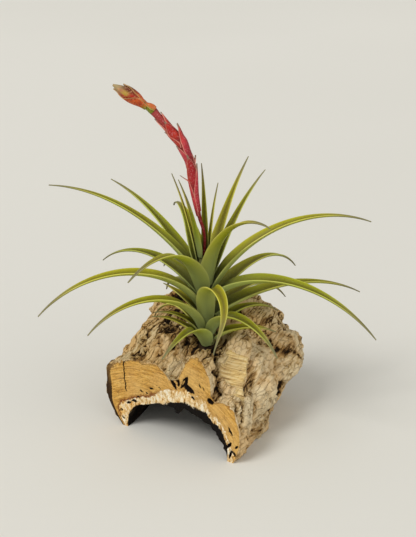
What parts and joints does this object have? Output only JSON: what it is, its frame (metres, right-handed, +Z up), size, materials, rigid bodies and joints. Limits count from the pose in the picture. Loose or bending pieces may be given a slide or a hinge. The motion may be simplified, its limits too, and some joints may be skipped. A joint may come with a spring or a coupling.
{
  "type": "flowering bromeliad on a cork bark arch",
  "caption": "Small flowering bromeliad: arching silvery leaves and a leaning red spike, growing on a hollow arch of rough cork bark with one sawn face.",
  "frame": {"origin": "on the ground, under the middle of the object's box", "axes": "+Z up; X along the sawn face of the cork, from its left foot to its right foot; +Y back along the tunnel"},
  "size_m": [0.2106, 0.191, 0.2579],
  "materials": {
    "bark": "rough dry cork bark, grey-brown outside, orange-tan on the sawn face",
    "glue": "dull brown glue",
    "stem": "matte",
    "leaf": "satin olive green with a grey scaly bloom",
    "spike_red": "matte scurfy red",
    "spike_tip": "satin orange and olive"
  },
  "bodies": {
    "root": {"cork_bark": "bark", "glue_dab": "glue", "stem": "stem", "leaf_01": "leaf", "leaf_02": "leaf", "leaf_03": "leaf", "leaf_04": "leaf", "leaf_05": "leaf", "leaf_06": "leaf", "leaf_07": "leaf", "leaf_08": "leaf", "leaf_09": "leaf", "leaf_10": "leaf", "leaf_11": "leaf", "leaf_12": "leaf", "leaf_13": "leaf", "leaf_14": "leaf", "leaf_15": "leaf", "leaf_16": "leaf", "leaf_17": "leaf", "leaf_18": "leaf", "leaf_19": "leaf", "leaf_20": "leaf", "leaf_21": "leaf", "leaf_22": "leaf", "leaf_23": "leaf", "leaf_24": "leaf", "leaf_25": "leaf", "leaf_26": "leaf", "leaf_27": "leaf", "leaf_28": "leaf", "leaf_29": "leaf", "leaf_30": "leaf", "leaf_31": "leaf", "leaf_32": "leaf", "leaf_33": "leaf", "leaf_34": "leaf", "leaf_35": "leaf", "spike_stalk": "spike_red", "spike_tip": "spike_tip"}
  },
  "joints": []
}
